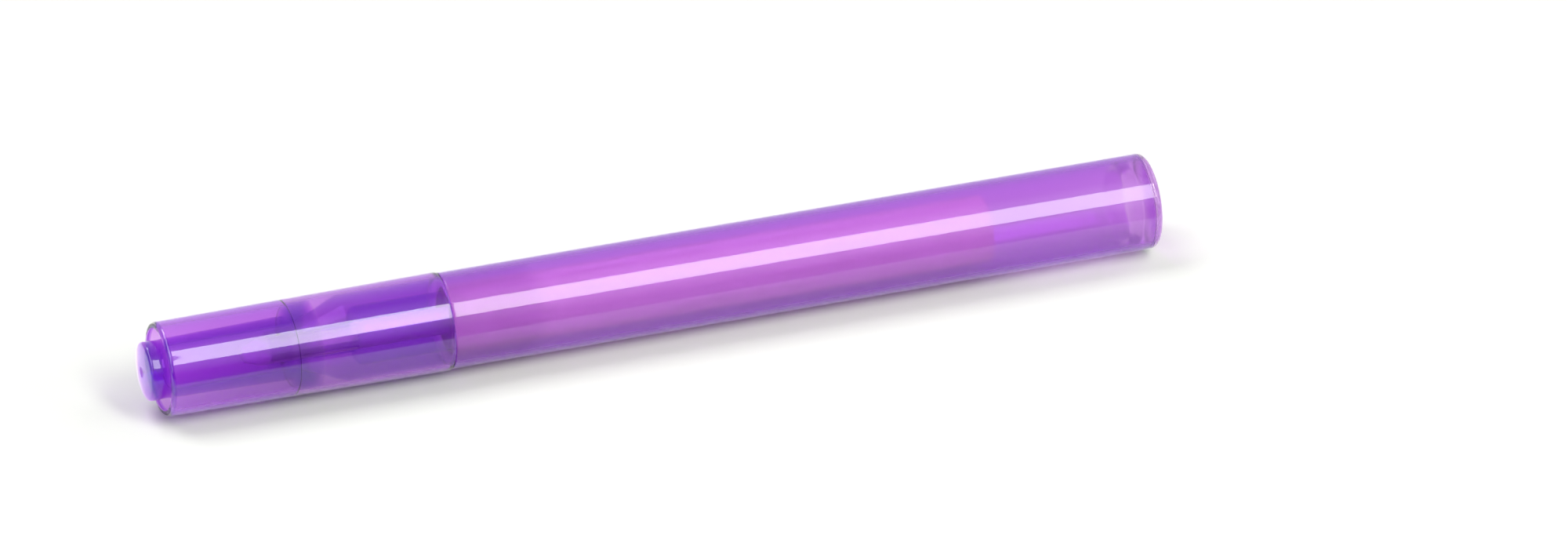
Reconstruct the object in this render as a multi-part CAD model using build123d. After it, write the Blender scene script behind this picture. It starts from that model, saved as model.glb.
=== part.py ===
from build123d import *
import os

os.makedirs("parts", exist_ok=True)

# A capped felt-tip pen of clear tinted plastic, lying along X with its cap towards -X.
# Lengths are in millimetres. Stations along the pen are counted from the open ring at the cap's end.

# Driving sizes of the barrel and its tail plug
barrel_diameter = 11.0
barrel_wall = 0.7
barrel_length = 83.3
tail_round = 0.6
tail_land = 0.2
tail_spigot_length = 2.9
tail_spigot_wall = 0.8
tail_floor = 1.0

# Driving sizes of the cap tube
cap_length = 33.2
cap_lip_step = 0.15
cap_draft = 0.25
cap_wall = 0.7
cap_end_chamfer = 0.3
cap_lead_in = 0.2

# Driving sizes of the inner cap, whose closed end stands out of the cap as a stub
stub_reach = 1.95
stub_diameter = 6.75
stub_head_length = 1.45
stub_edge_round = 0.4
stub_dome = 0.28
dimple_diameter = 1.4
dimple_depth = 0.4
sleeve_diameter = 6.6
sleeve_draft = 0.3
sleeve_bore = 4.9
sleeve_end_wall = 0.9
flange_station = 15.2
flange_length = 2.8

# Driving sizes of the section, which carries the nib and takes the cap
nose_station = 12.6
nose_diameter = 4.2
cone_station = 15.5
cone_start_diameter = 4.6
seat_station = 21.3
section_wall = 1.6
spigot_length = 10.5
spigot_wall = 0.5
pocket_setback = 0.4
grip_rib_count = 6
grip_rib_width = 0.7
grip_rib_height = 0.28
vent_groove_count = 4
vent_groove_width = 0.7
vent_groove_depth = 0.3

# Driving sizes of the nib, the fibre reservoir and its film
nib_diameter = 3.0
nib_reach = 3.0
nib_taper_length = 1.9
nib_tip_diameter = 1.5
nib_tip_chamfer = 0.4
nib_tail_length = 8.0
nib_tail_point = 2.2
reservoir_length = 63.9
film_thickness = 0.15

# Clearances and eased edges
lip_gap = 0.1
cap_running_gap = 0.05
press_gap = 0.02
seal_gap = 0.08
film_gap = 0.03
small_chamfer = 0.3
edge_break = 0.15

# Stations along the pen, from the cap ring towards the tail
lip_station = cap_length
barrel_station = lip_station + lip_gap
tail_station = barrel_station + barrel_length
end_station = tail_station + tail_land + tail_round
spigot_end_station = barrel_station + spigot_length
flange_end_station = flange_station + flange_length
pocket_station = barrel_station + pocket_setback
reservoir_station = pocket_station + press_gap
nib_tip_station = nose_station - nib_reach
nib_end_station = reservoir_station + nib_tail_length
cavity_station = seat_station + section_wall

# Radii that follow from the driving sizes
barrel_radius = barrel_diameter / 2
barrel_bore_radius = barrel_radius - barrel_wall
cap_lip_radius = barrel_radius + cap_lip_step
cap_end_radius = cap_lip_radius - cap_draft
cap_end_bore_radius = cap_end_radius - cap_wall
cap_seat_bore_radius = cap_lip_radius - cap_wall
seat_radius = cap_seat_bore_radius - cap_running_gap
spigot_radius = barrel_bore_radius - press_gap
pocket_radius = spigot_radius - spigot_wall
grip_radius = pocket_radius - grip_rib_height
film_radius = grip_radius - press_gap
reservoir_radius = film_radius - film_thickness - film_gap
nib_radius = nib_diameter / 2
nib_bore_radius = nib_radius + press_gap
cavity_radius = seat_radius - section_wall
cone_slope = (seat_radius - cone_start_diameter / 2) / (seat_station - cone_station)

# The pen rests on its widest ring, the cap lip, with the origin under the middle of its length
overall_length = stub_reach + end_station
axis_height = max(cap_lip_radius, barrel_radius)
ring_x = stub_reach - overall_length / 2


def half_face(points):
    """Flat half outline of a turned piece, from pairs of station and radius."""
    places = [(station, 0, radius) for station, radius in points]
    return make_face(Polyline(*places, close=True))


def rounded(face, station, radius, size):
    """The half outline with its corner at one station and radius rounded off."""
    corner = face.vertices().sort_by_distance(Vector(station, 0, radius))[0]
    return fillet(corner, size)


def eased(face, station, radius, size=edge_break):
    """The half outline with the sharp edge taken off its corner at one station and radius."""
    corner = face.vertices().sort_by_distance(Vector(station, 0, radius))[0]
    return chamfer(corner, size)


def turned(face):
    """Solid of revolution about the pen's axis."""
    return revolve(face, Axis.X, 360)


def longitudinal_bar(start, end, inner, outer, width):
    """Straight bar along the pen that lies between two radii."""
    middle = Pos((start + end) / 2, 0, (inner + outer) / 2)
    return middle * Box(end - start, width, outer - inner)


def round_the_axis(bar, count):
    """Evenly spaced copies of a bar round the pen's axis."""
    return [Rot(360 * step / count, 0, 0) * bar for step in range(count)]


def make_barrel():
    """Straight tube, open at both ends, with eased rims."""
    tube = half_face([
        (barrel_station, barrel_bore_radius),
        (tail_station, barrel_bore_radius),
        (tail_station, barrel_radius),
        (barrel_station, barrel_radius),
    ])
    return turned(eased(tube, barrel_station, barrel_radius))


def make_tail_plug():
    """Closing plug: a rounded flange with a hollow spigot pressed into the barrel."""
    spigot_front = tail_station - tail_spigot_length
    floor_station = tail_station - tail_floor
    recess_radius = spigot_radius - tail_spigot_wall
    plug = half_face([
        (end_station, 0),
        (end_station, barrel_radius),
        (tail_station, barrel_radius),
        (tail_station, spigot_radius),
        (spigot_front + small_chamfer, spigot_radius),
        (spigot_front, spigot_radius - small_chamfer),
        (spigot_front, recess_radius),
        (floor_station, recess_radius),
        (floor_station, 0),
    ])
    return turned(rounded(plug, end_station, barrel_radius, tail_round))


def make_cap_tube():
    """Drafted tube, open at both ends, with a step in its bore that stops the inner cap."""
    lead_radius = cap_seat_bore_radius + cap_lead_in
    tube = half_face([
        (0, cap_end_bore_radius),
        (flange_station, cap_end_bore_radius),
        (flange_station, cap_seat_bore_radius),
        (lip_station - cap_lead_in, cap_seat_bore_radius),
        (lip_station, lead_radius),
        (lip_station, cap_lip_radius),
        (0, cap_end_radius),
    ])
    tube = eased(tube, lip_station, cap_lip_radius)
    return turned(eased(tube, 0, cap_end_radius, cap_end_chamfer))


def make_inner_cap():
    """Closed sleeve that seals the nib: stub, sleeve, press flange and conical seat."""
    stub_radius = stub_diameter / 2
    sleeve_radius = sleeve_diameter / 2
    bore_radius = sleeve_bore / 2
    flange_radius = cap_seat_bore_radius - press_gap
    rim_radius = cone_radius(flange_end_station) + seal_gap
    mouth_station = flange_end_station - (rim_radius - bore_radius) / cone_slope
    face_station = -stub_reach
    dome_station = face_station + stub_dome
    head_end_station = face_station + stub_head_length
    body = half_face([
        (face_station + dimple_depth, 0),
        (face_station, dimple_diameter / 2),
        (dome_station, stub_radius),
        (head_end_station, stub_radius),
        (head_end_station, sleeve_radius),
        (flange_station, sleeve_radius + sleeve_draft),
        (flange_station, flange_radius),
        (flange_end_station, flange_radius),
        (flange_end_station, rim_radius),
        (mouth_station, bore_radius),
        (sleeve_end_wall, bore_radius),
        (sleeve_end_wall, 0),
    ])
    return turned(rounded(body, dome_station, stub_radius, stub_edge_round))


def cone_radius(station):
    """Outer radius of the section's sealing cone at a station."""
    return cone_start_diameter / 2 + cone_slope * (station - cone_station)


def make_section():
    """Nib holder: nose, sealing cone, cap seat and a ribbed hollow spigot."""
    shell = half_face([
        (nose_station, nib_bore_radius),
        (nose_station, nose_diameter / 2),
        (cone_station, cone_start_diameter / 2),
        (seat_station, seat_radius),
        (barrel_station, seat_radius),
        (barrel_station, spigot_radius),
        (spigot_end_station - small_chamfer, spigot_radius),
        (spigot_end_station, spigot_radius - small_chamfer),
        (spigot_end_station, pocket_radius),
        (pocket_station, pocket_radius),
        (pocket_station, cavity_radius),
        (cavity_station, cavity_radius),
        (cavity_station, nib_bore_radius),
    ])
    holder = turned(eased(shell, nose_station, nose_diameter / 2))
    rib = longitudinal_bar(
        pocket_station, spigot_end_station - small_chamfer,
        grip_radius, pocket_radius + spigot_wall / 2, grip_rib_width)
    groove = longitudinal_bar(
        nose_station, cavity_station,
        nib_bore_radius - vent_groove_depth, nib_bore_radius + vent_groove_depth, vent_groove_width)
    holder = holder + round_the_axis(rib, grip_rib_count)
    return holder - round_the_axis(groove, vent_groove_count)


def make_nib():
    """Pressed fibre rod with a blunt point at the front and a cone at the tail."""
    tip_radius = nib_tip_diameter / 2
    rod = half_face([
        (nib_tip_station, 0),
        (nib_tip_station, tip_radius),
        (nib_tip_station + nib_taper_length, nib_radius),
        (nib_end_station - nib_tail_point, nib_radius),
        (nib_end_station, tip_radius),
        (nib_end_station, 0),
    ])
    return turned(eased(rod, nib_tip_station, tip_radius, nib_tip_chamfer))


def make_ink_reservoir():
    """Fibre core with a pointed blind hole that takes the nib's tail."""
    hole_radius = nib_radius + press_gap
    point_radius = nib_tip_diameter / 2 + press_gap
    core = half_face([
        (reservoir_station, hole_radius),
        (nib_end_station - nib_tail_point + press_gap, hole_radius),
        (nib_end_station + press_gap, point_radius),
        (nib_end_station + press_gap, 0),
        (reservoir_station + reservoir_length, 0),
        (reservoir_station + reservoir_length, reservoir_radius),
        (reservoir_station, reservoir_radius),
    ])
    return turned(core)


def make_reservoir_film():
    """Thin film tube wrapped round the fibre core, flush with its ends."""
    inner_radius = film_radius - film_thickness
    tube = half_face([
        (reservoir_station, inner_radius),
        (reservoir_station + reservoir_length, inner_radius),
        (reservoir_station + reservoir_length, film_radius),
        (reservoir_station, film_radius),
    ])
    return turned(tube)


pieces = {
    "barrel": make_barrel(),
    "tail_plug": make_tail_plug(),
    "section": make_section(),
    "nib": make_nib(),
    "ink_reservoir": make_ink_reservoir(),
    "reservoir_film": make_reservoir_film(),
    "cap_tube": make_cap_tube(),
    "inner_cap": make_inner_cap(),
}

for name, piece in pieces.items():
    export_step(Pos(ring_x, 0, axis_height) * piece, f"parts/{name}.step")
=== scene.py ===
"""Looks of a capped felt-tip pen of clear purple plastic that lies on a white table.

Every piece is turned about the pen's axis. Stations are counted in millimetres from the open ring at the
cap's end towards the tail, and radii in millimetres from the axis. The meshes are in metres, in the frame
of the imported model.
"""
import logging
import math
from abc import ABC, abstractmethod
from collections.abc import Sequence
from dataclasses import dataclass
from enum import Enum
from typing import ClassVar

import bmesh
import bpy
from mathutils import Matrix, Vector


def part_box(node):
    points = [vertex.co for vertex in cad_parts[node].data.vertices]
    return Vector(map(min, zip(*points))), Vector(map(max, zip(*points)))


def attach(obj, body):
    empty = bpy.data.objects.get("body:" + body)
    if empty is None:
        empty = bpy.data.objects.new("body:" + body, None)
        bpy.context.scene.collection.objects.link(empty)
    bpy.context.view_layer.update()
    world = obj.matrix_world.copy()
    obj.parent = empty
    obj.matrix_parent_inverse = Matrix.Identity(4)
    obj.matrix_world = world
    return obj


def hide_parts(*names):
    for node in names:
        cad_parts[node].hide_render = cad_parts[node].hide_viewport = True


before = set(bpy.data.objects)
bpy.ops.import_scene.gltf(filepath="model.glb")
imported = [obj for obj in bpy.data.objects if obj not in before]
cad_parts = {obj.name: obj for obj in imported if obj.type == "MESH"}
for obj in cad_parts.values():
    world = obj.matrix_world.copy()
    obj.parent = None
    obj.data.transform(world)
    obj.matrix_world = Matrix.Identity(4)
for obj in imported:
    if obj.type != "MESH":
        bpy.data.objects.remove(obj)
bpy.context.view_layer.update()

log = logging.getLogger("pen")

MM = 0.001
RING_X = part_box("cap_tube")[0].x
AXIS_HEIGHT = (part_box("barrel")[0].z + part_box("barrel")[1].z) / 2

# Fineness of the meshes, with the holding edge in millimetres and the weld in metres
TURN_STEPS = 192
ARC_STEPS = 8
HOLDING_EDGE = 0.03
WELD_DISTANCE = 1e-8
SHARP_ANGLE = math.radians(35)

# Weight of a noise's finer octaves, and the numbers of a mix node's sockets for colours
FINE_WEIGHT = 0.55
BLEND_SHARE, BLEND_FIRST, BLEND_LAST, BLEND_RESULT = 0, 6, 7, 2

Pair = tuple[float, float]
Triple = tuple[float, float, float]
Colour = Triple
Stop = tuple[float, Colour]
Ring = list[bmesh.types.BMVert]
Socket = bpy.types.NodeSocket
Value = float | tuple[float, ...] | Socket


class Body(Enum):
    """The bodies that the pieces ride on."""

    PEN = "pen"
    CAP = "cap"


class Polish(Enum):
    """Which skin of a plastic piece is polished, while the rest is matt."""

    OUTSIDE = "outside"
    FRONT = "front"


class Relief(Enum):
    """How a turned surface departs from a full circle."""

    NONE = "none"
    GRIP_RIBS = "grip_ribs"
    VENT_GROOVES = "vent_grooves"


class Ray(Enum):
    """Kinds of light rays that a finish can tell apart."""

    SEEN = "Is Camera Ray"
    MIRRORED = "Is Glossy Ray"
    THROUGH = "Is Transmission Ray"
    SCATTERED = "Is Diffuse Ray"


class Sum(Enum):
    """Ways to make one value of two."""

    PLUS = "ADD"
    TIMES = "MULTIPLY"
    LARGER = "MAXIMUM"


@dataclass(frozen=True)
class Corner:
    """One corner of a half outline.

    Attributes:
        station: Place along the pen, in mm from the cap ring.
        radius: Distance from the axis, in mm.
        round: Radius that the corner is rounded to, in mm.
        relief: Ribs or grooves that the surface has here.
    """

    station: float
    radius: float
    round: float = 0.0
    relief: Relief = Relief.NONE


@dataclass(frozen=True)
class Envelope:
    """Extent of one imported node.

    Attributes:
        start: First station, in mm.
        end: Last station, in mm.
        radius: Largest radius, in mm.
    """

    start: float
    end: float
    radius: float


def rounded_outline(corners: Sequence[Corner]) -> list[Corner]:
    """Half outline with its corners rounded off by arcs.

    Each arc gets a short holding edge on both sides, so that smooth shading stays flat on the long runs.

    Args:
        corners: Corners in order, sharp where they lie on the axis.

    Returns:
        The points of the outline, as sharp corners.
    """
    points: list[Corner] = []
    for index, corner in enumerate(corners):
        if corner.round == 0:
            points.append(corner)
            continue
        here = Vector((corner.station, corner.radius))
        before = corners[index - 1]
        after = corners[(index + 1) % len(corners)]
        back = (Vector((before.station, before.radius)) - here).normalized()
        onward = (Vector((after.station, after.radius)) - here).normalized()
        half_angle = back.angle(onward) / 2
        reach = corner.round / math.tan(half_angle)
        centre = here + (back + onward).normalized() * (corner.round / math.sin(half_angle))
        first = here + back * reach - centre
        sweep = math.pi - 2 * half_angle
        turn = math.copysign(1, first.cross(here - centre))
        line = [here + back * (reach + HOLDING_EDGE)]
        for step in range(ARC_STEPS + 1):
            spoke = first.copy()
            spoke.rotate(Matrix.Rotation(turn * sweep * step / ARC_STEPS, 2))
            line.append(centre + spoke)
        line.append(here + onward * (reach + HOLDING_EDGE))
        points.extend(Corner(place.x, place.y, 0.0, corner.relief) for place in line)
    return points


@dataclass
class TurnedPiece(ABC):
    """A piece of the pen that is turned about the pen's axis."""

    name: ClassVar[str]
    node: ClassVar[str]
    body: ClassVar[Body]
    slot: ClassVar[str]
    closed: ClassVar[bool] = True

    @property
    def envelope(self) -> Envelope:
        """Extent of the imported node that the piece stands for."""
        low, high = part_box(self.node)
        return Envelope((low.x - RING_X) / MM, (high.x - RING_X) / MM, (high.y - low.y) / 2 / MM)

    @abstractmethod
    def corners(self) -> list[Corner]:
        """Corners of the half outline in order, from axis to axis where it isn't closed."""

    def angles(self) -> list[float]:
        """Angles round the axis at which the outline is repeated."""
        return [2 * math.pi * step / TURN_STEPS for step in range(TURN_STEPS)]

    def radius_at(self, point: Corner, angle: float) -> float:
        """Radius of an outline point at an angle round the axis, in mm."""
        return point.radius

    def mesh(self) -> bpy.types.Mesh:
        """Closed mesh of the piece.

        Returns:
            A new smooth-shaded mesh in metres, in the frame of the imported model.
        """
        outline = rounded_outline(self.corners())
        angles = self.angles()
        shape = bmesh.new()
        rings = [self.ring(shape, point, angles) for point in outline]
        pairs = list(zip(rings, rings[1:]))
        if self.closed:
            pairs.append((rings[-1], rings[0]))
        for ring, following in pairs:
            self.join(shape, ring, following)
        bmesh.ops.remove_doubles(shape, verts=shape.verts, dist=WELD_DISTANCE)
        bmesh.ops.recalc_face_normals(shape, faces=shape.faces)
        for face in shape.faces:
            face.smooth = True
        mesh = bpy.data.meshes.new(self.name)
        shape.to_mesh(mesh)
        shape.free()
        mesh.set_sharp_from_angle(angle=SHARP_ANGLE)
        return mesh

    def ring(self, shape: bmesh.types.BMesh, point: Corner, angles: Sequence[float]) -> Ring:
        """Vertices of one outline point, carried round the axis.

        Args:
            shape: Mesh that takes the vertices.
            point: Point of the outline.
            angles: Angles round the axis.

        Returns:
            One vertex for each angle, which is the same one all round on the axis.
        """
        x = RING_X + point.station * MM
        if point.radius == 0:
            return [shape.verts.new((x, 0, AXIS_HEIGHT))] * len(angles)
        ring = []
        for angle in angles:
            radius = self.radius_at(point, angle) * MM
            y = radius * math.cos(angle)
            z = AXIS_HEIGHT + radius * math.sin(angle)
            ring.append(shape.verts.new((x, y, z)))
        return ring

    @staticmethod
    def join(shape: bmesh.types.BMesh, ring: Ring, following: Ring) -> None:
        """Faces between two neighbouring rings, one of which may be a point on the axis.

        Args:
            shape: Mesh that takes the faces.
            ring: Vertices of one ring.
            following: Vertices of the next ring.
        """
        for step in range(len(ring)):
            after = (step + 1) % len(ring)
            corners = (ring[step], following[step], following[after], ring[after])
            shape.faces.new(tuple(dict.fromkeys(corners)))

    def build(self, material: bpy.types.Material) -> None:
        """Make the piece, dress it and set it on its body.

        Args:
            material: Finish of the piece.
        """
        mesh = self.mesh()
        mesh.materials.append(material)
        piece = bpy.data.objects.new(self.name, mesh)
        bpy.context.scene.collection.objects.link(piece)
        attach(piece, self.body.value)
        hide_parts(self.node)


@dataclass
class Barrel(TurnedPiece):
    """Clear tube that the section and the tail plug are pressed into."""

    name = "clear_barrel"
    node = "barrel"
    body = Body.PEN
    slot = "clear_purple_plastic"
    wall: float = 0.7
    front_round: float = 0.16
    rear_round: float = 0.06
    end_gap: float = 0.012

    def corners(self) -> list[Corner]:
        """Corners of the tube, a hair shorter than its seat so that its ends show as joints.

        Returns:
            The corners in order.
        """
        extent = self.envelope
        bore = extent.radius - self.wall
        start = extent.start + self.end_gap
        end = extent.end - self.end_gap
        return [
            Corner(start, bore, self.rear_round),
            Corner(end, bore, self.rear_round),
            Corner(end, extent.radius, self.rear_round),
            Corner(start, extent.radius, self.front_round),
        ]


@dataclass
class TailPlug(TurnedPiece):
    """Plug with a rounded flange that closes the barrel's tail."""

    name = "tail_plug_turned"
    node = "tail_plug"
    body = Body.PEN
    slot = "clear_purple_plastic"
    closed = False
    flange_length: float = 0.8
    edge_round: float = 0.6
    joint_round: float = 0.05
    spigot_radius: float = 4.78
    spigot_wall: float = 0.8
    spigot_chamfer: float = 0.3
    floor_thickness: float = 1.0
    floor_round: float = 0.25

    def corners(self) -> list[Corner]:
        """Corners from the middle of the tail face to the middle of the floor inside.

        Returns:
            The corners in order.
        """
        extent = self.envelope
        joint = extent.end - self.flange_length
        floor = joint - self.floor_thickness
        recess = self.spigot_radius - self.spigot_wall
        return [
            Corner(extent.end, 0),
            Corner(extent.end, extent.radius, self.edge_round),
            Corner(joint, extent.radius, self.joint_round),
            Corner(joint, self.spigot_radius),
            Corner(extent.start + self.spigot_chamfer, self.spigot_radius, self.joint_round),
            Corner(extent.start, self.spigot_radius - self.spigot_chamfer, self.joint_round),
            Corner(extent.start, recess, self.joint_round),
            Corner(floor, recess, self.floor_round),
            Corner(floor, 0),
        ]


@dataclass
class CapTube(TurnedPiece):
    """Drafted clear tube of the cap, open at both ends."""

    name = "clear_cap"
    node = "cap_tube"
    body = Body.CAP
    slot = "clear_purple_plastic"
    draft: float = 0.25
    lip_radius: float = 5.65
    wall: float = 0.7
    end_round: float = 0.45
    bore_round: float = 0.12
    lip_round: float = 0.2
    lead_in: float = 0.2
    lead_round: float = 0.06
    step_station: float = 15.2

    def corners(self) -> list[Corner]:
        """Corners of the tube, from the ring's bore to the lip and back outside.

        Returns:
            The corners in order.
        """
        extent = self.envelope
        end_radius = self.lip_radius - self.draft
        end_bore = end_radius - self.wall
        seat_bore = self.lip_radius - self.wall
        return [
            Corner(extent.start, end_bore, self.bore_round),
            Corner(self.step_station, end_bore),
            Corner(self.step_station, seat_bore),
            Corner(extent.end - self.lead_in, seat_bore, self.lead_round),
            Corner(extent.end, seat_bore + self.lead_in, self.lead_round),
            Corner(extent.end, self.lip_radius, self.lip_round),
            Corner(extent.start, end_radius, self.end_round),
        ]


@dataclass
class InnerCap(TurnedPiece):
    """Sealing sleeve inside the cap, whose closed end stands out as a stub."""

    name = "sealing_cap"
    node = "inner_cap"
    body = Body.CAP
    slot = "deep_purple_plastic"
    closed = False
    dimple_radius: float = 0.7
    dimple_depth: float = 0.4
    dimple_round: float = 0.25
    dome: float = 0.28
    dome_steps: int = 6
    head_radius: float = 3.375
    head_length: float = 1.45
    edge_round: float = 0.4
    small_round: float = 0.04
    sleeve_radius: float = 3.3
    sleeve_draft: float = 0.3
    bore_radius: float = 2.45
    end_wall: float = 0.9
    end_round: float = 0.5
    flange_station: float = 15.2
    rim_radius: float = 3.50
    mouth_station: float = 15.66

    def face(self, start: float) -> list[Corner]:
        """Gently domed face of the stub.

        Args:
            start: Station of the dome's highest ring.

        Returns:
            Points from the dimple's edge to the rounded edge of the stub.
        """
        width = self.head_radius - self.dimple_radius
        shares = [step / self.dome_steps for step in range(1, self.dome_steps)]
        return [Corner(start + self.dome * share**2, self.dimple_radius + width * share) for share in shares]

    def corners(self) -> list[Corner]:
        """Corners from the bottom of the dimple to the closed end inside.

        Returns:
            The corners in order.
        """
        extent = self.envelope
        head_end = extent.start + self.head_length
        return [
            Corner(extent.start + self.dimple_depth, 0),
            Corner(extent.start, self.dimple_radius, self.dimple_round),
            *self.face(extent.start),
            Corner(extent.start + self.dome, self.head_radius, self.edge_round),
            Corner(head_end, self.head_radius, self.small_round),
            Corner(head_end, self.sleeve_radius),
            Corner(self.flange_station, self.sleeve_radius + self.sleeve_draft),
            Corner(self.flange_station, extent.radius, self.small_round),
            Corner(extent.end, extent.radius, self.small_round),
            Corner(extent.end, self.rim_radius, self.small_round),
            Corner(self.mouth_station, self.bore_radius, self.small_round),
            Corner(self.end_wall, self.bore_radius, self.end_round),
            Corner(self.end_wall, 0),
        ]


@dataclass
class Section(TurnedPiece):
    """Nib holder with a sealing cone, the seat of the cap and a ribbed spigot."""

    name = "nib_section"
    node = "section"
    body = Body.PEN
    slot = "deep_purple_plastic"
    nose_radius: float = 2.1
    nose_round: float = 0.15
    cone_station: float = 15.5
    cone_start_radius: float = 2.3
    seat_station: float = 21.3
    soft_round: float = 0.4
    small_round: float = 0.04
    shoulder_station: float = 33.3
    spigot_radius: float = 4.78
    spigot_chamfer: float = 0.3
    pocket_station: float = 33.7
    pocket_radius: float = 4.28
    cavity_station: float = 22.9
    cavity_radius: float = 3.3
    bore_radius: float = 1.49
    rib_count: int = 6
    rib_width: float = 0.7
    rib_top: float = 4.0
    groove_count: int = 4
    groove_width: float = 0.7
    groove_floor: float = 1.82
    flank: float = 0.004

    def corners(self) -> list[Corner]:
        """Corners from the nose over the cone and the spigot, and back through the bore.

        Returns:
            The corners in order.
        """
        extent = self.envelope
        rib_end = extent.end - self.spigot_chamfer
        return [
            Corner(extent.start, self.bore_radius, relief=Relief.VENT_GROOVES),
            Corner(extent.start, self.nose_radius, self.nose_round),
            Corner(self.cone_station, self.cone_start_radius, self.soft_round),
            Corner(self.seat_station, extent.radius, self.soft_round),
            Corner(self.shoulder_station, extent.radius, self.small_round),
            Corner(self.shoulder_station, self.spigot_radius),
            Corner(rib_end, self.spigot_radius, self.small_round),
            Corner(extent.end, self.spigot_radius - self.spigot_chamfer, self.small_round),
            Corner(extent.end, self.pocket_radius, self.small_round),
            Corner(rib_end, self.pocket_radius),
            Corner(rib_end, self.pocket_radius, relief=Relief.GRIP_RIBS),
            Corner(self.pocket_station, self.pocket_radius, relief=Relief.GRIP_RIBS),
            Corner(self.pocket_station, self.cavity_radius, self.small_round),
            Corner(self.cavity_station, self.cavity_radius, self.soft_round),
            Corner(self.cavity_station, self.bore_radius, relief=Relief.VENT_GROOVES),
        ]

    def sizes(self, relief: Relief) -> tuple[int, float, float]:
        """Sizes of the ribs or of the grooves.

        Args:
            relief: Ribs or grooves.

        Returns:
            How many there are, half the angle that each spans, and the least radius of its flat.
        """
        if relief is Relief.GRIP_RIBS:
            return self.rib_count, math.asin(self.rib_width / 2 / self.pocket_radius), self.rib_top
        return self.groove_count, math.asin(self.groove_width / 2 / self.groove_floor), self.groove_floor

    def angles(self) -> list[float]:
        """Even steps round the axis, with more at the flanks of the ribs and grooves.

        Returns:
            The angles in order.
        """
        angles = set(super().angles())
        for relief in (Relief.GRIP_RIBS, Relief.VENT_GROOVES):
            count, half, _ = self.sizes(relief)
            for index in range(count):
                middle = math.pi / 2 + 2 * math.pi * index / count
                for edge in (-half - self.flank, -half, half, half + self.flank):
                    angles.add((middle + edge) % (2 * math.pi))
        return sorted(angles)

    def radius_at(self, point: Corner, angle: float) -> float:
        """Radius of an outline point, with the flat ribs and grooves taken into account.

        Args:
            point: Point of the outline.
            angle: Angle round the axis.

        Returns:
            The radius in mm.
        """
        if point.relief is Relief.NONE:
            return point.radius
        count, half, flat = self.sizes(point.relief)
        pitch = 2 * math.pi / count
        offset = (angle - math.pi / 2 + pitch / 2) % pitch - pitch / 2
        return point.radius if abs(offset) > half + self.flank / 2 else flat / math.cos(offset)


@dataclass
class Nib(TurnedPiece):
    """Rod of pressed fibre with a bullet point."""

    name = "fibre_nib"
    node = "nib"
    body = Body.PEN
    slot = "nib_fibre"
    closed = False
    tip_radius: float = 0.75
    tip_round: float = 0.62
    taper_length: float = 1.9
    taper_round: float = 1.2
    tail_length: float = 2.2
    tail_round: float = 0.1

    def corners(self) -> list[Corner]:
        """Corners from the point to the tail.

        Returns:
            The corners in order.
        """
        extent = self.envelope
        return [
            Corner(extent.start, 0),
            Corner(extent.start, self.tip_radius, self.tip_round),
            Corner(extent.start + self.taper_length, extent.radius, self.taper_round),
            Corner(extent.end - self.tail_length, extent.radius, self.tail_round),
            Corner(extent.end, self.tip_radius, self.tail_round),
            Corner(extent.end, 0),
        ]


@dataclass
class FibreCore(TurnedPiece):
    """Drawn fibre core that holds the ink, with a pointed hole for the nib's tail."""

    name = "fibre_core"
    node = "ink_reservoir"
    body = Body.PEN
    slot = "reservoir_fibre"
    closed = False
    hole_radius: float = 1.52
    hole_depth: float = 8.02
    point_length: float = 2.2
    point_radius: float = 0.77
    edge_round: float = 0.15

    def corners(self) -> list[Corner]:
        """Corners from the bottom of the hole to the middle of the rear face.

        Returns:
            The corners in order.
        """
        extent = self.envelope
        bottom = extent.start + self.hole_depth
        return [
            Corner(bottom, 0),
            Corner(bottom, self.point_radius),
            Corner(bottom - self.point_length, self.hole_radius),
            Corner(extent.start, self.hole_radius, self.edge_round),
            Corner(extent.start, extent.radius, self.edge_round),
            Corner(extent.end, extent.radius, self.edge_round),
            Corner(extent.end, 0),
        ]


@dataclass
class CoreFilm(TurnedPiece):
    """Thin clear film wrapped round the fibre core."""

    name = "core_film"
    node = "reservoir_film"
    body = Body.PEN
    slot = "clear_film"
    thickness: float = 0.15

    def corners(self) -> list[Corner]:
        """Corners of the thin tube.

        Returns:
            The corners in order.
        """
        extent = self.envelope
        inner = extent.radius - self.thickness
        return [
            Corner(extent.start, inner),
            Corner(extent.end, inner),
            Corner(extent.end, extent.radius),
            Corner(extent.start, extent.radius),
        ]


def opaque(colour: Colour) -> tuple[float, ...]:
    """The colour with full cover."""
    return (*colour, 1.0)


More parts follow.
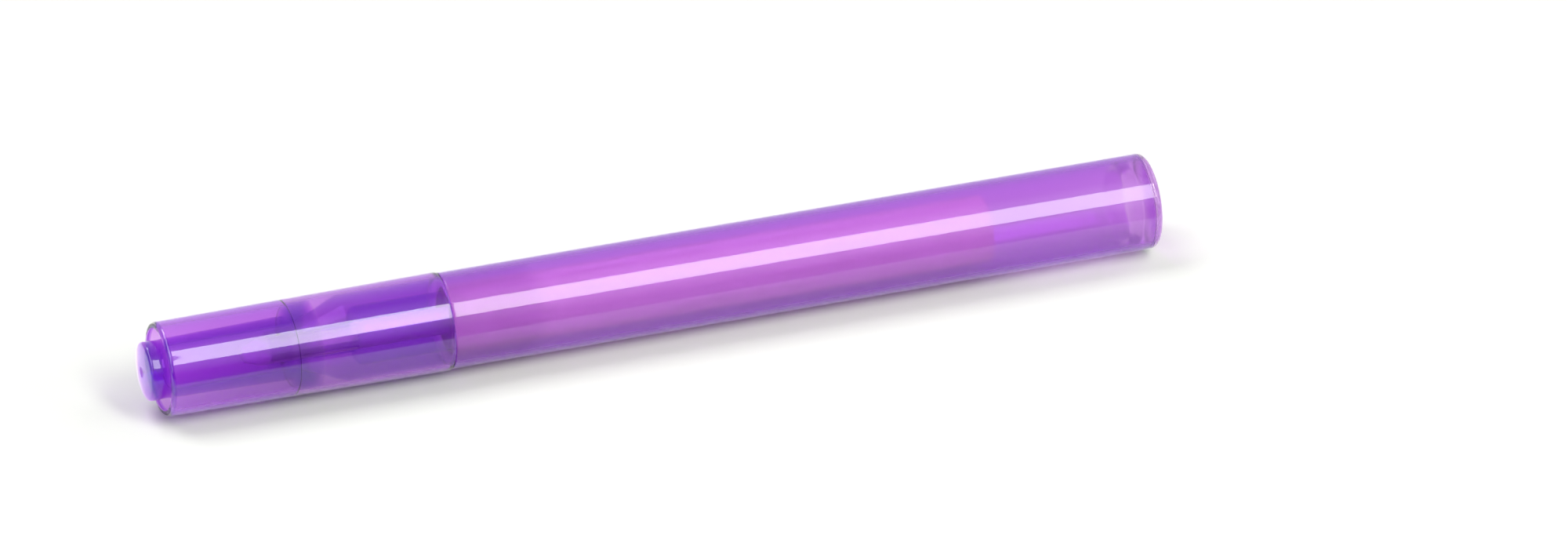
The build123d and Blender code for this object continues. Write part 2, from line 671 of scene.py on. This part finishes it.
class NodeBoard:
    """Shader nodes of one material or world, cleared for a new start."""

    def __init__(self, tree: bpy.types.NodeTree) -> None:
        """Take over a node tree and clear it."""
        self.tree = tree
        self.tree.nodes.clear()

    def add(
        self, kind: str, inputs: dict[str | int, Value] | None = None, **settings: object
    ) -> bpy.types.Node:
        """Add one node.

        Args:
            kind: Blender's name of the node type.
            inputs: Values for its sockets, or other nodes' sockets to link to them.
            settings: Values for its own options.

        Returns:
            The new node.
        """
        node = self.tree.nodes.new(kind)
        for name, value in settings.items():
            setattr(node, name, value)
        for name, value in (inputs or {}).items():
            if isinstance(value, Socket):
                self.tree.links.new(value, node.inputs[name])
            else:
                node.inputs[name].default_value = value
        return node

    def place(self) -> Socket:
        """The object's own coordinates."""
        return self.add("ShaderNodeTexCoord").outputs["Object"]

    def mapped(self, scale: Triple, turn: Triple = (0, 0, 0), shift: Triple = (0, 0, 0)) -> Socket:
        """The object's own coordinates, scaled, turned and shifted."""
        inputs = {"Vector": self.place(), "Scale": scale, "Rotation": turn, "Location": shift}
        return self.add("ShaderNodeMapping", inputs).outputs["Vector"]

    def axis(self, name: str, place: Socket) -> Socket:
        """One coordinate of a place or a direction."""
        return self.add("ShaderNodeSeparateXYZ", {"Vector": place}).outputs[name]

    def from_axis(self) -> Socket:
        """Distance from the pen's axis."""
        across = self.mapped((0, 1, 1), shift=(0, 0, -AXIS_HEIGHT))
        return self.add("ShaderNodeVectorMath", {0: across}, operation="LENGTH").outputs["Value"]

    def ray(self, kind: Ray) -> Socket:
        """One for rays of a kind, nought for the others."""
        return self.add("ShaderNodeLightPath").outputs[kind.value]

    def combine(self, way: Sum, first: Value, second: Value) -> Socket:
        """One value made of two."""
        return self.add("ShaderNodeMath", {0: first, 1: second}, operation=way.value).outputs[0]

    def mix(self, share: Socket | float, first: Value, last: Value) -> Socket:
        """Value between two values, by the share of the last one."""
        inputs = {"Factor": share, "A": first, "B": last}
        return self.add("ShaderNodeMix", inputs, data_type="FLOAT").outputs["Result"]

    def blend(self, share: Socket, first: Value, last: Value) -> Socket:
        """Colour between two colours, by the share of the last one."""
        inputs = {BLEND_SHARE: share, BLEND_FIRST: first, BLEND_LAST: last}
        return self.add("ShaderNodeMix", inputs, data_type="RGBA").outputs[BLEND_RESULT]

    def ramp(self, value: Socket, low: float, high: float, first: float, last: float) -> Socket:
        """Value carried from low..high over to first..last, held at the ends."""
        inputs = {"Value": value, "From Min": low, "From Max": high, "To Min": first, "To Max": last}
        return self.add("ShaderNodeMapRange", inputs, clamp=True).outputs["Result"]

    def noise(self, pitch: Triple, detail: float = 4.0) -> Socket:
        """Noise over the object's own coordinates.

        Args:
            pitch: Features to a metre along each axis.
            detail: Octaves of the noise.

        Returns:
            The noise value's socket.
        """
        place = self.mapped(pitch)
        inputs = {"Vector": place, "Scale": 1.0, "Detail": detail, "Roughness": FINE_WEIGHT}
        return self.add("ShaderNodeTexNoise", inputs).outputs["Fac"]

    def along_pen(self, stops: Sequence[Stop]) -> Socket:
        """Colour that changes along the pen.

        Args:
            stops: Stations in mm and the colours there, in order.

        Returns:
            The colour's socket.
        """
        first, last = stops[0][0], stops[-1][0]
        x = self.axis("X", self.place())
        share = self.ramp(x, RING_X + first * MM, RING_X + last * MM, 0.0, 1.0)
        band = self.add("ShaderNodeValToRGB", {"Fac": share})
        marks = band.color_ramp.elements
        while len(marks) < len(stops):
            marks.new(1.0)
        for mark, (station, colour) in zip(marks, stops):
            mark.position = (station - first) / (last - first)
            mark.color = opaque(colour)
        return band.outputs["Color"]

    def bump(
        self, height: Socket, depth: float, under: Socket | None = None, strength: float = 1.0
    ) -> Socket:
        """Surface normal disturbed by a height.

        Args:
            height: Socket of the height, from nought to one.
            depth: Height of the bump, in mm.
            under: Socket of a normal that is already disturbed.
            strength: Share of the bump that shows.

        Returns:
            The normal's socket.
        """
        inputs = {"Height": height, "Strength": strength, "Distance": depth * MM}
        if under is not None:
            inputs["Normal"] = under
        return self.add("ShaderNodeBump", inputs).outputs["Normal"]


@dataclass(frozen=True)
class Finish(ABC):
    """Finish of a piece or of the table.

    Attributes:
        name: Name of the finish.
    """

    name: str

    @abstractmethod
    def shaders(self, board: NodeBoard) -> dict[str, Socket]:
        """Shaders of the skin and of the mass, by the output that takes them."""

    def make(self) -> bpy.types.Material:
        """Build the finish.

        Returns:
            A new material.
        """
        material = bpy.data.materials.new(self.name)
        material.use_nodes = True
        board = NodeBoard(material.node_tree)
        board.add("ShaderNodeOutputMaterial", self.shaders(board))
        return material


@dataclass(frozen=True)
class Marks:
    """Scattered marks on a polished skin.

    Attributes:
        pitch: Marks to a metre along each axis, before some are left out.
        turn: Angles that the marks are turned by.
        width: Half the width of a mark, as a share of the distance between marks.
        share: Share of the marks that stay.
        depth: Height of the marks, in mm.
        fade: Part of that share whose marks are fainter.
    """

    pitch: Triple
    turn: Triple
    width: float
    share: float
    depth: float
    fade: float = 0.01

    def height(self, board: NodeBoard) -> Socket:
        """Height of the marks, one in their middle and nought outside.

        Args:
            board: Nodes of the material.

        Returns:
            The height's socket.
        """
        place = board.mapped(self.pitch, self.turn)
        cells = board.add("ShaderNodeTexVoronoi", {"Vector": place, "Scale": 1.0})
        lot = board.add("ShaderNodeSeparateColor", {"Color": cells.outputs["Color"]}).outputs["Red"]
        kept = board.ramp(lot, self.share - self.fade, self.share, 1.0, 0.0)
        middle = board.ramp(cells.outputs["Distance"], 0.0, self.width, 1.0, 0.0)
        return board.combine(Sum.TIMES, middle, kept)


DUST = Marks(pitch=(1000, 1000, 1000), turn=(0, 0, 0), width=0.07, share=0.08, depth=0.03)
SCRATCHES = Marks(pitch=(60, 2500, 2500), turn=(0.2, 0.6, 0.7), width=0.05, share=0.1, depth=0.003)


@dataclass(frozen=True)
class ClearPlastic(Finish):
    """Clear moulded plastic, tinted in its mass and matt where the mould's core shaped it.

    A pitch counts features to a metre along each axis, and a fade is half the width of a change, in mm.

    Attributes:
        stops: Colours of the skins at stations along the pen, which tint what shines through as well.
        clarity: Share of the light that goes straight through a skin, past the cloud.
        pass_share: Share of red, green and blue light left after one wall.
        haze: Roughness of the matt skin.
        ior: Refractive index.
        gloss: Roughness of the polished skin, where it is cleanest.
        ripple: Height of the moulding ripple, in mm.
        lacquer: Weight of the gloss on the polished skin.
        shade: Colour of the polished skin for light that falls through it on something matt, which keeps
            the shadow on the table grey.
        wall: Thickness of the wall that pass_share is meant for, in mm.
        polish: Skin that is polished.
        limit: Radius outside which the skin is polished, or station before which it is, in mm.
    """

    stops: tuple[Stop, ...]
    clarity: float
    pass_share: Colour
    haze: float
    ior: float
    gloss: float = 0.015
    ripple: float = 0.00015
    lacquer: float = 1.0
    shade: Colour | None = None
    wall: float = 0.7
    polish: Polish = Polish.OUTSIDE
    limit: float = 5.2
    lacquer_ior: ClassVar[float] = 1.5
    smear_pitch: ClassVar[Triple] = (90, 420, 420)
    smear_levels: ClassVar[Pair] = (0.35, 0.75)
    smear_dulling: ClassVar[float] = 3.0
    ripple_pitch: ClassVar[Triple] = (260, 900, 900)
    ripple_detail: ClassVar[float] = 2.0
    outside_fade: ClassVar[float] = 0.05
    front_fade: ClassVar[float] = 0.1

    def shaders(self, board: NodeBoard) -> dict[str, Socket]:
        """Polished, faintly rippled skin and tinted mass.

        Args:
            board: Nodes of the material.

        Returns:
            Both shaders' sockets.
        """
        polished = self.polished(board)
        normal = self.normal(board, polished)
        dulled = self.gloss * self.smear_dulling
        smears = board.ramp(board.noise(self.smear_pitch), *self.smear_levels, self.gloss, dulled)
        skin = board.add(
            "ShaderNodeBsdfPrincipled",
            {
                "Base Color": self.tint(board, polished),
                "Roughness": board.mix(polished, self.haze, smears),
                "Transmission Weight": self.clarity,
                "IOR": self.ior,
                "Normal": normal,
                "Coat Weight": board.ramp(polished, 0.0, 1.0, 0.0, self.lacquer),
                "Coat Roughness": self.gloss,
                "Coat IOR": self.lacquer_ior,
                "Coat Normal": normal,
            },
        )
        absorb = [-math.log(share) / (self.wall * MM) for share in self.pass_share]
        density = max(absorb)
        tint = opaque(tuple(1 - value / density for value in absorb))
        mass = board.add("ShaderNodeVolumeAbsorption", {"Color": tint, "Density": density})
        return {"Surface": skin.outputs["BSDF"], "Volume": mass.outputs["Volume"]}

    def tint(self, board: NodeBoard, polished: Socket) -> Socket:
        """Colour of the skins along the piece.

        Args:
            board: Nodes of the material.
            polished: Share of polished skin.

        Returns:
            The colour's socket.
        """
        colour = board.along_pen(self.stops)
        if self.shade is None:
            return colour
        shaded = board.combine(Sum.TIMES, board.ray(Ray.SCATTERED), polished)
        return board.blend(shaded, colour, opaque(self.shade))

    def normal(self, board: NodeBoard, polished: Socket) -> Socket:
        """Moulding ripple all over, and dust and fine scratches on the polished skin.

        Args:
            board: Nodes of the material.
            polished: Share of polished skin.

        Returns:
            The normal's socket.
        """
        normal = board.bump(board.noise(self.ripple_pitch, self.ripple_detail), self.ripple)
        for marks in (DUST, SCRATCHES):
            height = board.combine(Sum.TIMES, marks.height(board), polished)
            normal = board.bump(height, marks.depth, normal)
        return normal

    def polished(self, board: NodeBoard) -> Socket:
        """One on the polished skin, nought on the matt skin.

        Args:
            board: Nodes of the material.

        Returns:
            The share's socket.
        """
        if self.polish is Polish.FRONT:
            edge = RING_X + self.limit * MM
            fade = self.front_fade * MM
            return board.ramp(board.axis("X", board.place()), edge - fade, edge + fade, 1.0, 0.0)
        edge = self.limit * MM
        fade = self.outside_fade * MM
        return board.ramp(board.from_axis(), edge - fade, edge + fade, 0.0, 1.0)


@dataclass(frozen=True)
class Fibre(Finish):
    """Drawn or pressed fibre.

    Attributes:
        light: Colour of the fibres on top.
        dark: Colour between the fibres.
        pitch: Fibres to a metre across the pen.
        stretch: Fibre breaks to a metre along the pen.
        relief: Height of the fibres, in mm.
    """

    light: Colour
    dark: Colour
    pitch: float
    stretch: float
    relief: float
    dullness: ClassVar[float] = 0.9
    strand_detail: ClassVar[float] = 5.0
    bundle_size: ClassVar[float] = 10.0
    bundle_detail: ClassVar[float] = 3.0
    bundle_share: ClassVar[float] = 0.6
    streak_levels: ClassVar[Pair] = (0.36, 0.62)

    def shaders(self, board: NodeBoard) -> dict[str, Socket]:
        """Dull skin, streaked along the pen.

        Args:
            board: Nodes of the material.

        Returns:
            The shader's socket.
        """
        pitch = (self.stretch, self.pitch, self.pitch)
        strands = board.noise(pitch, self.strand_detail)
        bundles = board.noise(tuple(value / self.bundle_size for value in pitch), self.bundle_detail)
        streaks = board.mix(self.bundle_share, strands, bundles)
        shade = board.ramp(streaks, *self.streak_levels, 0.0, 1.0)
        skin = board.add(
            "ShaderNodeBsdfPrincipled",
            {
                "Base Color": board.blend(shade, opaque(self.dark), opaque(self.light)),
                "Roughness": self.dullness,
                "Normal": board.bump(strands, self.relief),
            },
        )
        return {"Surface": skin.outputs["BSDF"]}


@dataclass(frozen=True)
class Film(Finish):
    """Thin clear film.

    Attributes:
        colour: Colour of what the film reflects.
        cover: Share of the light that the film stops.
        gloss: Roughness of the film, where it is smoothest.
    """

    colour: Colour
    cover: float
    gloss: float
    crease_pitch: ClassVar[Triple] = (150, 700, 700)
    crease_levels: ClassVar[Pair] = (0.3, 0.7)
    crease_dulling: ClassVar[float] = 2.0
    crease_depth: ClassVar[float] = 0.03
    crease_strength: ClassVar[float] = 0.6

    def shaders(self, board: NodeBoard) -> dict[str, Socket]:
        """See-through skin with fine creases.

        Args:
            board: Nodes of the material.

        Returns:
            The shader's socket.
        """
        creases = board.noise(self.crease_pitch)
        dulled = self.gloss * self.crease_dulling
        skin = board.add(
            "ShaderNodeBsdfPrincipled",
            {
                "Base Color": opaque(self.colour),
                "Alpha": self.cover,
                "Roughness": board.ramp(creases, *self.crease_levels, self.gloss, dulled),
                "Normal": board.bump(creases, self.crease_depth, strength=self.crease_strength),
            },
        )
        return {"Surface": skin.outputs["BSDF"]}


@dataclass(frozen=True)
class TablePaint(Finish):
    """White paint of the table, with a brightness of its own in reflections and through clear plastic.

    An edge is the pair of places between which a brightness changes, in metres.

    Attributes:
        colour: Brightness for the light that the table throws back.
        seen_colour: Brightness that the camera sees.
        mirrored_colour: Brightness in reflections, under the pen and behind it.
        far_colour: Brightness in reflections, far in front of the pen.
        far_edge: Y of the edge between the two.
        card_colour: Brightness that reflections get on top beyond the cap's end.
        card_edge: X of the edge where that ends.
        through_light: Brightness through clear plastic, along the pen.
        end_light: Brightness through clear plastic, at the cap's end.
        end_edge: X of the edge between the two.
        through_share: Share of these two in what shows through clear plastic.
    """

    colour: float = 0.86
    seen_colour: float = 1.10
    mirrored_colour: float = 1.4
    far_colour: float = 0.1
    far_edge: Pair = (-0.038, -0.029)
    card_colour: float = 0.7
    card_edge: Pair = (-0.0585, -0.0575)
    through_light: float = 0.62
    end_light: float = 0.95
    end_edge: Pair = (-0.062, -0.045)
    through_share: float = 0.6

    def shaders(self, board: NodeBoard) -> dict[str, Socket]:
        """Matt paint that takes the shadow, mixed with a glow for what shows through clear plastic.

        Args:
            board: Nodes of the material.

        Returns:
            The shader's socket.
        """
        x, y = (board.axis(name, board.place()) for name in "XY")
        seen = board.ray(Ray.SEEN)
        for kind in (Ray.MIRRORED, Ray.THROUGH):
            seen = board.combine(Sum.LARGER, seen, board.ray(kind))
        level = board.ramp(seen, 0.0, 1.0, self.colour, self.seen_colour)
        near = board.ramp(y, *self.far_edge, self.far_colour, self.mirrored_colour)
        card = board.ramp(x, *self.card_edge, self.card_colour, 0.0)
        colour = board.mix(board.ray(Ray.MIRRORED), level, board.combine(Sum.PLUS, near, card))
        paint = board.add("ShaderNodeBsdfDiffuse", {"Color": colour})
        light = board.ramp(x, *self.end_edge, self.end_light, self.through_light)
        glow = board.add("ShaderNodeEmission", {"Strength": light})
        through = board.ramp(board.ray(Ray.THROUGH), 0.0, 1.0, 0.0, self.through_share)
        inputs = {0: through, 1: paint.outputs["BSDF"], 2: glow.outputs["Emission"]}
        return {"Surface": board.add("ShaderNodeMixShader", inputs).outputs["Shader"]}


@dataclass(frozen=True)
class Card:
    """Light card that shows in reflections, bright in its middle and fading to its edge.

    Attributes:
        towards: Direction of its middle from the pen.
        middle: Half the angle that its bright middle spans, in degrees.
        edge: Half the angle that the whole card spans, in degrees.
        strength: Brightness of its middle.
    """

    towards: Triple
    middle: float
    edge: float
    strength: float

    def light(self, board: NodeBoard, direction: Socket) -> Socket:
        """Brightness of the card in a direction.

        Args:
            board: Nodes of the world.
            direction: Socket of the direction.

        Returns:
            The brightness's socket.
        """
        inputs = {0: direction, 1: Vector(self.towards).normalized()}
        facing = board.add("ShaderNodeVectorMath", inputs, operation="DOT_PRODUCT").outputs["Value"]
        edge, middle = (math.cos(math.radians(angle)) for angle in (self.edge, self.middle))
        return board.ramp(facing, edge, middle, 0.0, self.strength)


FRONT_CARD = Card(towards=(0.278, -0.595, 0.754), middle=15, edge=38, strength=1.2)
GLINT_CARD = Card(towards=(-0.50, -0.28, 0.82), middle=8, edge=24, strength=6.0)
CAP_END_CARD = Card(towards=(-0.75, -0.30, 0.55), middle=12, edge=32, strength=0.8)
TAIL_END_CARD = Card(towards=(0.88, 0.0, 0.46), middle=12, edge=32, strength=0.5)
BACK_CARD = Card(towards=(-0.05, 0.60, 0.80), middle=7, edge=14, strength=7.0)
WHITE = (1.0, 1.0, 1.0)


@dataclass
class Studio:
    """White table, soft light and the camera, in metres and watts, with the lens and sensor in mm."""

    table_side: float = 4.0
    table_paint: TablePaint = TablePaint("white_table")
    room_light: float = 0.25
    mirrored_front_and_back: Pair = (0.06, 1.0)
    mirrored_edge: Pair = (-0.2, 0.8)
    through_light: float = 0.70
    cards: tuple[Card, ...] = (FRONT_CARD, GLINT_CARD, CAP_END_CARD, TAIL_END_CARD, BACK_CARD)
    softbox_elevation: float = math.radians(51.7)
    softbox_distance: float = 0.77
    softbox_x: float = 0.225
    softbox_length: float = 0.2
    softbox_height: float = 0.462
    softbox_power: float = 2.3
    softbox_colour: Colour = (0.97, 1.03, 0.86)
    bank_side: float = 0.5
    cap_bank_place: Triple = (-0.35, 0.25, 0.78)
    cap_bank_power: float = 3.0
    tail_bank_place: Triple = (0.75, 0.1, 0.6)
    tail_bank_power: float = 1.2
    fill_place: Triple = (0.8, -0.6, 0.4)
    fill_power: float = 2.0
    azimuth: float = math.radians(-18.8)
    elevation: float = math.radians(30.2)
    camera_distance: float = 2.0
    camera_sight: float = 20.0
    lens: float = 408.0
    sensor: float = 36.0
    aim_right: float = 0.0152
    aim_up: float = 0.0018

    def build(self) -> None:
        """Set up the table, the lights, the surroundings and the camera."""
        self.table()
        self.softbox()
        self.banks()
        self.surroundings()
        self.camera()
        bpy.context.scene.view_settings.view_transform = "Standard"

    def table(self) -> None:
        """White table that keeps the pen's shadow."""
        half = self.table_side / 2
        corners = [(-half, -half, 0), (half, -half, 0), (half, half, 0), (-half, half, 0)]
        mesh = bpy.data.meshes.new("table")
        mesh.from_pydata(corners, [], [(0, 1, 2, 3)])
        mesh.materials.append(self.table_paint.make())
        table = bpy.data.objects.new("table", mesh)
        bpy.context.scene.collection.objects.link(table)

    def area_lamp(
        self, name: str, place: Vector, facing: Vector, size: Pair, power: float, colour: Colour = WHITE
    ) -> None:
        """Rectangular lamp, turned so that one side runs along the pen.

        Args:
            name: Name of the lamp.
            place: Its middle.
            facing: Direction that it shines in.
            size: Length along the pen and height, in metres.
            power: Its power in watts.
            colour: Colour of its light.
        """
        lamp = bpy.data.lights.new(name, "AREA")
        lamp.shape = "RECTANGLE"
        lamp.size, lamp.size_y = size
        lamp.energy = power
        lamp.color = colour
        holder = bpy.data.objects.new(name, lamp)
        back = -facing.normalized()
        along = Vector((1, 0, 0))
        along = (along - back * along.dot(back)).normalized()
        across = back.cross(along)
        turn = Matrix((along, across, back)).transposed().to_4x4()
        holder.matrix_world = Matrix.Translation(place) @ turn
        bpy.context.scene.collection.objects.link(holder)

    def softbox(self) -> None:
        """Softbox in front, which draws the bright band along the pen."""
        facing = Vector((0, math.cos(self.softbox_elevation), -math.sin(self.softbox_elevation)))
        place = Vector((self.softbox_x, 0, AXIS_HEIGHT)) - facing * self.softbox_distance
        size = (self.softbox_length, self.softbox_height)
        self.area_lamp("softbox", place, facing, size, self.softbox_power, self.softbox_colour)

    def banks(self) -> None:
        """Overhead banks and low front fills beyond both ends, clear of the barrel's reflections."""
        x, y, z = self.fill_place
        lamps = (
            ("cap_bank", self.cap_bank_place, self.cap_bank_power),
            ("tail_bank", self.tail_bank_place, self.tail_bank_power),
            ("cap_fill", (-x, y, z), self.fill_power),
            ("tail_fill", (x, y, z), self.fill_power),
        )
        for name, place, power in lamps:
            self.area_lamp(name, Vector(place), -Vector(place), (self.bank_side, self.bank_side), power)

    def surroundings(self) -> None:
        """Room that is white for the camera, with a dim front, a bright back and cards in reflections."""
        world = bpy.data.worlds.new("studio")
        world.use_nodes = True
        bpy.context.scene.world = world
        board = NodeBoard(world.node_tree)
        direction = board.add("ShaderNodeTexCoord").outputs["Generated"]
        y = board.axis("Y", direction)
        mirrored = board.ramp(y, *self.mirrored_edge, *self.mirrored_front_and_back)
        for card in self.cards:
            mirrored = board.combine(Sum.PLUS, mirrored, card.light(board, direction))
        strength = board.ramp(board.ray(Ray.SEEN), 0.0, 1.0, self.room_light, 1.0)
        strength = board.mix(board.ray(Ray.MIRRORED), strength, mirrored)
        strength = board.mix(board.ray(Ray.THROUGH), strength, self.through_light)
        sky = board.add("ShaderNodeBackground", {"Color": opaque(WHITE), "Strength": strength})
        board.add("ShaderNodeOutputWorld", {"Surface": sky.outputs["Background"]})

    def camera(self) -> None:
        """Camera at the photograph's viewing angle."""
        turn, rise = self.azimuth, self.elevation
        back = Vector((math.sin(turn) * math.cos(rise), -math.cos(turn) * math.cos(rise), math.sin(rise)))
        right = Vector((math.cos(turn), math.sin(turn), 0))
        up = back.cross(right)
        lens = bpy.data.cameras.new("camera")
        lens.lens = self.lens
        lens.sensor_width = self.sensor
        lens.sensor_fit = "HORIZONTAL"
        lens.clip_end = self.camera_sight
        camera = bpy.data.objects.new("camera", lens)
        target = Vector((0, 0, AXIS_HEIGHT)) + right * self.aim_right + up * self.aim_up
        camera.location = target + back * self.camera_distance
        camera.rotation_euler = (-back).to_track_quat("-Z", "Y").to_euler()
        bpy.context.scene.collection.objects.link(camera)
        bpy.context.scene.camera = camera


BARREL_PLASTIC = ClearPlastic(
    name="barrel_purple",
    stops=((33.0, (0.97, 0.88, 1.0)), (105.0, (0.97, 0.88, 1.0)), (117.0, (0.98, 0.92, 1.0))),
    clarity=0.99,
    pass_share=(0.81, 0.52, 0.95),
    haze=0.30,
    ior=1.15,
    lacquer=0.9,
    shade=(0.41, 1.0, 0.30),
)
CAP_PLASTIC = ClearPlastic(
    name="cap_purple",
    stops=(
        (0.03, (0.97, 0.88, 1.0)),
        # The deep violet from 0.10 to 0.42 mm is painted shade on the ring's rounded end, standing in for
        # the dark outline that the clear edge shows.
        (0.10, (0.48, 0.20, 0.78)),
        (0.42, (0.54, 0.27, 0.84)),
        (0.52, (0.97, 0.90, 1.0)),
        (33.0, (0.97, 0.87, 1.0)),
    ),
    clarity=0.99,
    pass_share=(0.85, 0.56, 0.98),
    haze=0.20,
    ior=1.18,
    shade=(0.24, 0.8, 0.15),
)
PLUG_PLASTIC = ClearPlastic(
    name="plug_purple",
    stops=((113.0, (0.98, 0.90, 1.0)), (117.4, (0.99, 0.93, 1.0))),
    clarity=0.95,
    pass_share=(0.99, 0.965, 0.998),
    haze=0.20,
    ior=1.15,
    gloss=0.02,
    ripple=0.0003,
    shade=(0.41, 1.0, 0.30),
)
SECTION_PLASTIC = ClearPlastic(
    name="section_purple",
    stops=(
        (12.6, (0.90, 0.72, 0.98)),
        (16.0, (0.86, 0.62, 0.97)),
        (20.0, (0.66, 0.31, 0.92)),
        (33.2, (0.63, 0.27, 0.91)),
        (33.5, (0.99, 0.97, 1.0)),
        (44.0, (1.0, 0.99, 1.0)),
    ),
    clarity=0.97,
    pass_share=(0.97, 0.92, 0.985),
    haze=0.15,
    ior=1.01,
    gloss=0.03,
    ripple=0.001,
    lacquer=0.8,
    polish=Polish.FRONT,
    limit=33.2,
)
INNER_PLASTIC = ClearPlastic(
    name="inner_purple",
    stops=(
        (-1.95, (0.60, 0.40, 0.88)),
        (-1.62, (0.60, 0.40, 0.88)),
        (-1.45, (0.66, 0.34, 0.87)),
        (0.3, (0.67, 0.35, 0.88)),
        (0.9, (0.87, 0.65, 0.97)),
        (14.6, (0.87, 0.65, 0.97)),
        (15.1, (0.98, 0.94, 1.0)),
        (18.2, (1.0, 1.0, 1.0)),
    ),
    clarity=0.94,
    pass_share=(0.87, 0.605, 0.955),
    haze=0.25,
    ior=1.01,
    gloss=0.03,
    ripple=0.001,
    lacquer=0.9,
    shade=(0.25, 0.8, 0.16),
    polish=Polish.FRONT,
    limit=0.6,
)
CORE_FIBRE = Fibre(
    name="pink_fibre", light=(0.99, 0.95, 0.84), dark=(0.88, 0.74, 0.72),
    pitch=9000, stretch=350, relief=0.03,
)
NIB_FIBRE = Fibre(
    name="white_fibre", light=(0.93, 0.92, 0.90), dark=(0.74, 0.72, 0.70),
    pitch=7000, stretch=900, relief=0.02,
)
CLEAR_FILM = Film(name="thin_film", colour=(0.96, 0.92, 0.97), cover=0.10, gloss=0.18)


def main() -> None:
    """Build the pen, the table, the lights and the camera."""
    logging.basicConfig(level=logging.INFO, format="%(name)s %(message)s")
    dressed = (
        (Barrel(), BARREL_PLASTIC),
        (TailPlug(), PLUG_PLASTIC),
        (Section(), SECTION_PLASTIC),
        (Nib(), NIB_FIBRE),
        (FibreCore(), CORE_FIBRE),
        (CoreFilm(), CLEAR_FILM),
        (CapTube(), CAP_PLASTIC),
        (InnerCap(), INNER_PLASTIC),
    )
    for piece, finish in dressed:
        piece.build(finish.make())
        log.info("%s for node %s in %s", piece.name, piece.node, finish.name)
    Studio().build()


if __name__ == "__main__":
    main()
